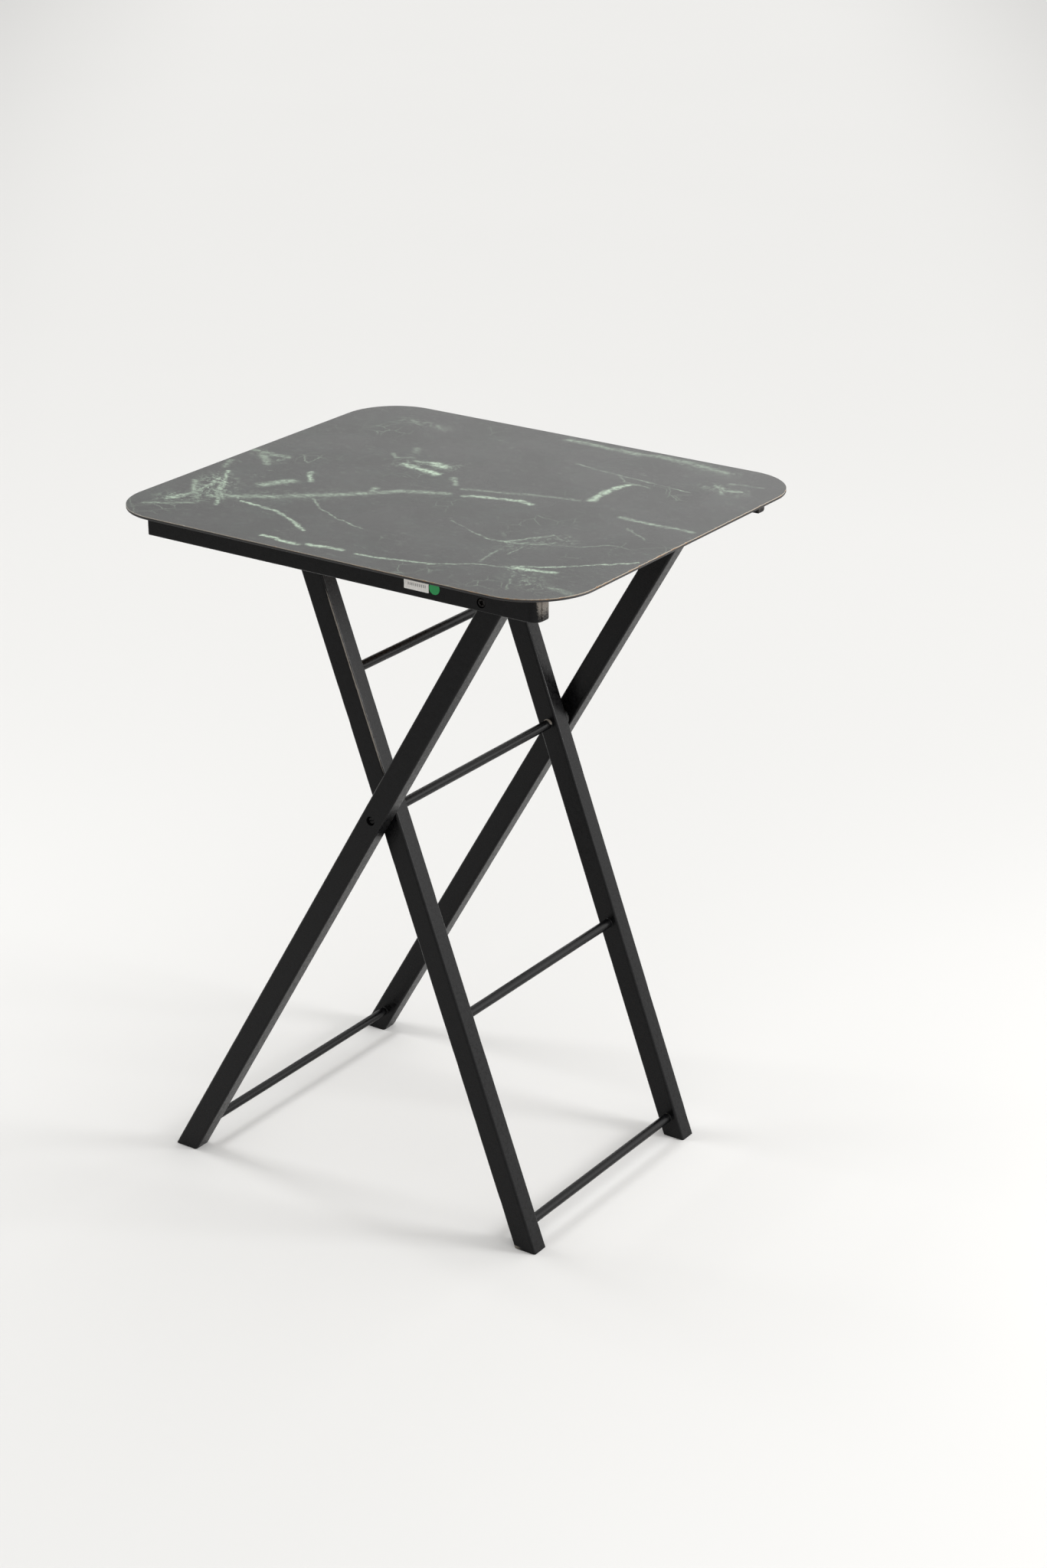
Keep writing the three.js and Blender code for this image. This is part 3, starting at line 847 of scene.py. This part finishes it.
class TABLE_OT_board(bpy.types.Operator):
    """Build the fibreboard under the laminate"""

    bl_idname = "table.board"
    bl_label = "Board"

    def execute(self, context):
        top = context.scene.table_top
        low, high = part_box("top_board")
        outline = top_outline(low, high, top.corner, top.rubbed_corner)
        arris = BOARD_ARRIS
        rings, rub = [], []
        levels = (  # height, how far it is set back, and how bare it is
            (low.z, arris, 0.0), (low.z + arris * 0.3, arris * 0.3, 0.1),
            (low.z + arris, 0, 0.0), ((low.z + high.z) / 2, 0, -0.1),
            (high.z - arris * 0.8, 0, 0.2), (high.z - arris * 0.25, arris * 0.25, 0.6),
            (high.z, arris * 0.6, 0.8), (high.z, 2.5 * MM, 0.9), (high.z, 6 * MM, 0.9),
        )
        for height, back, bareness in levels:
            ring = []
            for point, outward in outline:
                handling = handled(point, low, high)
                ragged = noise.noise(Vector((point.x * 300, point.y * 300, height * 900)))
                edge = point - outward * (back + 0.12 * MM * max(0.0, ragged) * handling)
                ring.append((edge.x, edge.y, height))
                patch = noise.noise(Vector((point.x * 70, point.y * 70, 4.4)))
                rub.append(bareness * (0.3 + 0.7 * handling) + 0.35 * patch * handling)
            rings.append(ring)
        board = piece("fibre_board", loft(rings), "tabletop", "top_board")
        places = vertex_places(board)
        if len(places) != len(rub):
            raise RuntimeError("the board's mesh lost vertices")
        values = np.array(rub)
        values[: len(outline)] = 1.2  # the underside is bare
        mark(board, "rub", "FLOAT", values)
        board.data.shade_smooth()
        board.data.set_sharp_from_angle(angle=BOARD_FLAT_ANGLE)
        dress(board, board_finish(top))
        return {"FINISHED"}


# ------------------------------------------------------------------ frame


def leg_rings(wood, radius, half_y, tip, floor_at, row):
    """Rings up a leg in its own axes: a level sole, straight sides and a half round tip."""
    rings = []
    for turn in quarter_turn(3):
        inset = wood.sole * (1 - math.sin(turn))
        lift = wood.sole * (1 - math.cos(turn))
        corner = max(wood.leg_arris - inset, 0.4 * MM)
        section = rounded_section(radius - inset, half_y - inset, corner)
        rings.append([(x, y, floor_at(x) + lift) for x, y in section])
    section = rounded_section(radius, half_y, wood.leg_arris)
    steps_round = len(section) // 4
    count = int((tip - floor_at(0)) / wood.station)
    for station in range(1, count + 1):
        part = station / count
        ring = []
        for index, (x, y) in enumerate(section):
            z = (floor_at(x) + wood.sole) * (1 - part) + tip * part
            knock = knocked(z, index, steps_round, row, wood.dent)
            ring.append((x - math.copysign(knock, x), y - math.copysign(knock, y), z))
        rings.append(ring)
    for turn in quarter_turn(10)[1:]:
        rings.append([
            (x * math.cos(turn), y, tip + abs(x) * math.sin(turn)) for x, y in section
        ])
    return rings


def stand(rings, pivot, lean, y):
    """Rings in a leg's own axes, leaned about the crossing and set at their place."""
    turn = Matrix.Rotation(lean, 3, "Y")
    offset = Vector((pivot.x, y, pivot.z))
    return [[turn @ Vector(point) + offset for point in ring] for ring in rings]


def front_inner_wear_and_highlight(places, grain, rub):
    """Paint rubbed thin along the front inner leg's upper right arris, painted pale there as a
    painted highlight as well, and its chipped sole.
    """
    along = grain[:, 2]
    high = np.clip(along / RUB_HIGHLIGHT_RISE, 0, 1) * np.clip((RUB_HIGHLIGHT_END - along) / RUB_HIGHLIGHT_FALL, 0, 1)
    # The rubbed arris is partly wear and partly a painted highlight.
    rubbed = rub / FULL_RUB * RUBBED_HIGHLIGHT * high * (grain[:, 0] > 0) * (places[:, 1] < 0)
    above_floor = places[:, 2] - places[:, 2].min()
    chipped = (above_floor < CHIP_HEIGHT) * (grain[:, 0] < -CHIP_SIDE) * (places[:, 1] < 0)
    return np.maximum(rubbed, CHIPPED * chipped)


def frame_paint(wood):
    """The frame's one paint, made once."""
    return bpy.data.materials.get("black painted wood") or paint_finish(wood)


def build_leg(context, end, kind, tip_place, holes, row, wear_and_highlight=None):
    """One leg, from the floor through the crossing to its half round tip."""
    wood = context.scene.table_wood
    node = f"{kind}_leg_{end}"
    low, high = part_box(node)
    crossing = joint_place("leg_fold")
    run = tip_place - crossing
    lean = math.atan2(run.x, run.z)
    radius = high.z - tip_place.z
    half_y = (high.y - low.y) / 2

    def floor_at(x):
        return (x * math.sin(lean) - crossing.z) / math.cos(lean)

    tip = math.hypot(run.x, run.z)
    rings = leg_rings(wood, radius, half_y, tip, floor_at, row)
    y = (low.y + high.y) / 2
    made = loft(stand(rings, crossing, lean, y), cap_end=False)
    leg = piece(f"{kind}_{end}_leg_wood", made, f"{kind}_frame", node)
    drill(leg, holes)
    mark_grain(leg, (crossing.x, y, crossing.z), lean, radius, half_y, wood.leg_arris, wear_and_highlight)
    soften(leg)
    dress(leg, frame_paint(wood))


class TABLE_OT_outer_legs(bpy.types.Operator):
    """Build the outer legs, bolted to the rails at their tips"""

    bl_idname = "table.outer_legs"
    bl_label = "Outer legs"

    def execute(self, context):
        hardware = context.scene.table_hardware
        hinge, crossing = joint_place("top_tilt"), joint_place("leg_fold")
        for row, end in enumerate(ENDS):
            sides = faces(f"outer_leg_{end}", end)
            holes = [
                *sunk_hole(hardware, crossing, *sides),
                bolt_hole(hardware, hinge, *sides),
                housing("outer_stretcher", *sides[1:]),
            ]
            build_leg(context, end, "outer", hinge, holes, row)
        return {"FINISHED"}


class TABLE_OT_inner_legs(bpy.types.Operator):
    """Build the inner legs with a housing for each rung"""

    bl_idname = "table.inner_legs"
    bl_label = "Inner legs"

    def execute(self, context):
        tip = middle("catch_rung")
        for row, end in enumerate(ENDS):
            _, inside, way = faces(f"inner_leg_{end}", end)
            holes = [housing(node, inside, way) for node in INNER_RUNGS]
            wear_and_highlight = front_inner_wear_and_highlight if end == "front" else None
            build_leg(context, end, "inner", tip, holes, row + 2, wear_and_highlight)
        return {"FINISHED"}


def build_rung(context, node, leg_kind, row):
    """A round rung, slightly uneven, with a fillet of glue and paint where it meets each leg."""
    wood = context.scene.table_wood
    low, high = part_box(node)
    place = middle(node)
    radius = (high.z - low.z) / 2
    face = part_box(f"{leg_kind}_leg_rear")[0].y
    stops = [
        (high.y, radius - RUNG_CHAMFER), (high.y - RUNG_CHAMFER, radius),
        (face + 0.05 * MM, radius),
    ]
    run_out = wood.fillet * 1.4
    for turn in quarter_turn(4):
        flare = wood.fillet * (1 - math.sin(turn))
        stops.append((face - run_out * (1 - math.cos(turn)), radius + flare))
    inner_stop = face - run_out
    count = int(inner_stop / RUNG_STATION)
    half = stops + [(inner_stop * (1 - part / count), radius) for part in range(1, count + 1)]
    profile = half + [(-y, size) for y, size in reversed(half[:-1])]
    rings = []
    for y, size in profile:
        ring = []
        for point in range(wood.round_steps):
            turn = 2 * math.pi * point / wood.round_steps
            ripple = noise.noise(Vector((math.cos(turn), y * 30, math.sin(turn) + row * 3)))
            reach = size + RUNG_RIPPLE * ripple * (size >= radius)
            ring.append((place.x + reach * math.cos(turn), y, place.z + reach * math.sin(turn)))
        rings.append(ring)
    rung = piece(f"{node}_wood", loft(rings), f"{leg_kind}_frame", node)
    places = vertex_places(rung) - np.array((place.x, 0, place.z))
    bare = np.clip(1 - np.abs(np.abs(places[:, 1]) - face + 0.7 * MM) / (1.6 * MM), 0, 1) * 0.25
    if node == "middle_rung":  # its rear end is rubbed bare on top
        ring = np.clip(1 - (face - places[:, 1]) / (9 * MM), 0, 1)
        bare = np.maximum(bare, 0.8 * ring * np.clip(0.6 + places[:, 2] / radius, 0, 1))
    mark_wood(rung, places[:, [0, 2, 1]] + np.array((0, 0, row * 0.7)), 0.25, bare)
    soften(rung)
    dress(rung, frame_paint(wood))


class TABLE_OT_rungs(bpy.types.Operator):
    """Build the round rungs of the inner frame and the outer stretcher"""

    bl_idname = "table.rungs"
    bl_label = "Rungs"

    def execute(self, context):
        for row, node in enumerate(INNER_RUNGS):
            build_rung(context, node, "inner", row)
        build_rung(context, "outer_stretcher", "outer", len(INNER_RUNGS))
        return {"FINISHED"}


def rail_rings(wood, low, high, outer, inner, way, row):
    """Rings along a rail, from its square end to its rounded nose."""
    ends = RAIL_END
    middle_z = (low.z + high.z) / 2
    stations = []  # place along X, inset all round, cut off the outer side
    for turn in quarter_turn(3):
        stations.append((low.x + ends * (1 - math.cos(turn)), ends * (1 - math.sin(turn)), 0.0))
    nose_start = high.x - wood.nose
    count = int((nose_start - low.x) / wood.station)
    for station in range(1, count + 1):
        stations.append((low.x + ends + (nose_start - low.x - ends) * station / count, 0.0, 0.0))
    for turn in quarter_turn(8)[1:]:
        place = nose_start + (wood.nose - ends) * math.sin(turn)
        stations.append((place, 0.0, (wood.nose - ends) * (1 - math.cos(turn))))
    for turn in quarter_turn(3)[1:]:
        place = high.x - ends * (1 - math.sin(turn))
        stations.append((place, ends * (1 - math.cos(turn)), wood.nose - ends))
    rings = []
    for x, inset, cut in stations:
        outer_here = outer - way * (cut + inset)
        inner_here = inner + way * inset
        half_y = abs(outer_here - inner_here) / 2
        corner = max(wood.rail_arris - inset, SMALLEST_ARRIS)
        section = rounded_section(half_y, (high.z - low.z) / 2 - inset, corner)
        steps_round = len(section) // 4
        ring = []
        for index, (y, z) in enumerate(section):
            knock = knocked(x, index, steps_round, row, wood.dent * 0.8)
            y -= math.copysign(knock, y)
            z -= math.copysign(knock, z)
            ring.append((x, (outer_here + inner_here) / 2 + y, middle_z + z))
        rings.append(ring)
    return rings


class TABLE_OT_rails(bpy.types.Operator):
    """Build the side rails with their rounded noses and sunk bolt holes"""

    bl_idname = "table.rails"
    bl_label = "Rails"

    def execute(self, context):
        wood = context.scene.table_wood
        hardware = context.scene.table_hardware
        hinge = joint_place("top_tilt")
        for row, end in enumerate(ENDS):
            node = f"{end}_rail"
            low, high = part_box(node)
            sides = faces(node, end)
            made = loft(rail_rings(wood, low, high, *sides, row + 9))
            rail = piece(f"{end}_rail_wood", made, "tabletop", node)
            drill(rail, sunk_hole(hardware, hinge, *sides))
            self.mark_rail(rail, low, high, wood.rail_arris)
            soften(rail)
            dress(rail, frame_paint(wood))
        return {"FINISHED"}

    @staticmethod
    def mark_rail(rail, low, high, arris):
        """Grain along X, rubbed arrises, and bare end grain at the nose, paler towards its top as
        a painted sheen.
        """
        places = vertex_places(rail)
        centre = np.array(((low.x + high.x) / 2, (low.y + high.y) / 2, (low.z + high.z) / 2))
        own = places - centre
        half = (np.array(high) - np.array(low)) / 2
        gaps = np.sort(half - np.abs(own), axis=1)
        rub = np.clip(1 - gaps[:, 1] / arris, 0, 1)
        nose_bare_and_sheen = np.clip(1.3 - (half[0] - own[:, 0]) / (6 * MM), 0, 1)
        # Paler towards the nose's top: worn end grain, and a painted sheen where the nose faces
        # the right softbox.
        worn = 0.63 + 0.14 * np.clip(own[:, 2] / half[2], -1, 1)
        mark_wood(rail, own[:, [1, 2, 0]], rub, nose_bare_and_sheen * worn)


class TABLE_OT_batten(bpy.types.Operator):
    """Build the rebated batten that the catch rung bears on"""

    bl_idname = "table.batten"
    bl_label = "Catch batten"

    def execute(self, context):
        wood = context.scene.table_wood
        made = bmesh.new()
        made.from_mesh(frame["nodes"]["catch_batten"].data)
        bmesh.ops.remove_doubles(made, verts=made.verts, dist=1e-6)
        bmesh.ops.dissolve_limit(
            made, angle_limit=math.radians(1), verts=made.verts, edges=made.edges
        )
        sharp = [edge for edge in made.edges if edge.calc_face_angle(0) > math.radians(40)]
        bmesh.ops.bevel(
            made, geom=sharp, offset=BATTEN_ARRIS, segments=3, profile=0.5, affect="EDGES",
            clamp_overlap=True,
        )
        batten = piece("catch_batten_wood", made, "tabletop", "catch_batten")
        own = vertex_places(batten) - np.array(middle("catch_batten"))
        mark_wood(batten, own[:, [0, 2, 1]], 0.3, 0)
        soften(batten)
        dress(batten, frame_paint(wood))
        return {"FINISHED"}


# ------------------------------------------------------------------ hardware and stickers


class TABLE_OT_hardware(bpy.types.Operator):
    """Finish the bolts, screws, nuts, washers and spacers"""

    bl_idname = "table.hardware"
    bl_label = "Hardware"

    def execute(self, context):
        hardware = context.scene.table_hardware
        steel, plastic = steel_finish(hardware), spacer_finish(hardware)
        finishes = {
            "hinge_bolt": steel, "hinge_washer": steel, "hinge_nut": steel,
            "crossing_screw": frame_paint(context.scene.table_wood),
            "hinge_spacer": plastic, "crossing_spacer": plastic,
        }
        for end in ENDS:
            for node, finish in finishes.items():
                dress(frame["nodes"][f"{end}_{node}"], finish)
        return {"FINISHED"}


class TABLE_OT_stickers(bpy.types.Operator):
    """Finish the plain label and the green dot on the front rail"""

    bl_idname = "table.stickers"
    bl_label = "Stickers"

    def execute(self, context):
        hardware = context.scene.table_hardware
        dress(frame["nodes"]["rail_label"], label_finish(hardware))
        dress(frame["nodes"]["rail_dot"], dot_finish(hardware))
        return {"FINISHED"}


# ------------------------------------------------------------------ stage


class TABLE_OT_stage(bpy.types.Operator):
    """Set the pale floor, the soft light and the camera"""

    bl_idname = "table.stage"
    bl_label = "Stage"

    def execute(self, context):
        stage = context.scene.table_stage
        self.lay_floor(stage)
        self.light_sky(context, stage)
        self.hang_light(context, "right", stage.right, stage.softbox, stage.right_place)
        self.hang_light(context, "left", stage.left, stage.softbox, stage.left_place)
        self.place_camera(context, stage)
        context.scene.view_settings.view_transform = "Standard"
        return {"FINISHED"}

    def lay_floor(self, stage):
        made = bmesh.new()
        bmesh.ops.create_circle(made, cap_ends=True, segments=96, radius=60)
        bmesh.ops.translate(made, verts=made.verts, vec=(0, 0, -0.2 * MM))
        floor = put_in_scene("floor", made)
        dress(floor, floor_finish(stage))

    def light_sky(self, context, stage):
        world = bpy.data.worlds.new("studio")
        world.use_nodes = True
        context.scene.world = world
        made = Nodes(world.node_tree)
        around = made.node("TexCoord").outputs["Generated"]
        behind = made.vector("DOT_PRODUCT", around, BRIGHT_SKY)
        level_here = made.ramp(behind, -0.45, 0.08, stage.sky_front, stage.sky_back)
        beside = made.vector("DOT_PRODUCT", around, GLOW)
        glow = made.ramp(beside, 0.45, 0.95, 0.0, stage.sky_right)
        strength = made.math("ADD", level_here, glow)
        made.set(world.node_tree.nodes["Background"], Color=stage.sky, Strength=strength)

    def hang_light(self, context, name, power, size, place):
        lamp = bpy.data.lights.new(name, "AREA")
        lamp.energy = power
        lamp.shape = "SQUARE"
        lamp.size = size
        holder = bpy.data.objects.new(name, lamp)
        holder.location = place
        aim = Vector((0, 0, 0.3)) - Vector(place)
        holder.rotation_euler = aim.to_track_quat("-Z", "Y").to_euler()
        context.scene.collection.objects.link(holder)

    def place_camera(self, context, stage):
        data = bpy.data.cameras.new("camera")
        data.lens = stage.lens
        data.sensor_width = 36
        camera = bpy.data.objects.new("camera", data)
        camera.location = stage.camera
        camera.rotation_euler = (math.pi / 2 - stage.tilt, 0, stage.heading)
        context.scene.collection.objects.link(camera)
        context.scene.camera = camera


# ------------------------------------------------------------------ add-on


PIECE_OPERATORS = (
    TABLE_OT_laminate, TABLE_OT_board, TABLE_OT_rails, TABLE_OT_batten, TABLE_OT_outer_legs,
    TABLE_OT_inner_legs, TABLE_OT_rungs, TABLE_OT_hardware, TABLE_OT_stickers,
)


class TABLE_PT_panel(bpy.types.Panel):
    """The table's operators, in the order that they run"""

    bl_label = "Folding table"
    bl_idname = "TABLE_PT_panel"
    bl_space_type = "VIEW_3D"
    bl_region_type = "UI"
    bl_category = "Table"

    def draw(self, context):
        column = self.layout.column()
        for operator in (*PIECE_OPERATORS, TABLE_OT_stage):
            column.operator(operator.bl_idname)


SETTINGS = (
    ("table_top", TopSettings), ("table_wood", WoodSettings),
    ("table_hardware", HardwareSettings), ("table_stage", StageSettings),
)


def register():
    for name, group in SETTINGS:
        bpy.utils.register_class(group)
        setattr(bpy.types.Scene, name, PointerProperty(type=group))
    for made in (*PIECE_OPERATORS, TABLE_OT_stage, TABLE_PT_panel):
        bpy.utils.register_class(made)


def unregister():
    for made in (TABLE_PT_panel, TABLE_OT_stage, *reversed(PIECE_OPERATORS)):
        bpy.utils.unregister_class(made)
    for name, group in reversed(SETTINGS):
        delattr(bpy.types.Scene, name)
        bpy.utils.unregister_class(group)


def main():
    register()
    bpy.ops.table.stage()
    for operator in PIECE_OPERATORS:
        group, name = operator.bl_idname.split(".")
        getattr(getattr(bpy.ops, group), name)()


if __name__ == "__main__":
    main()
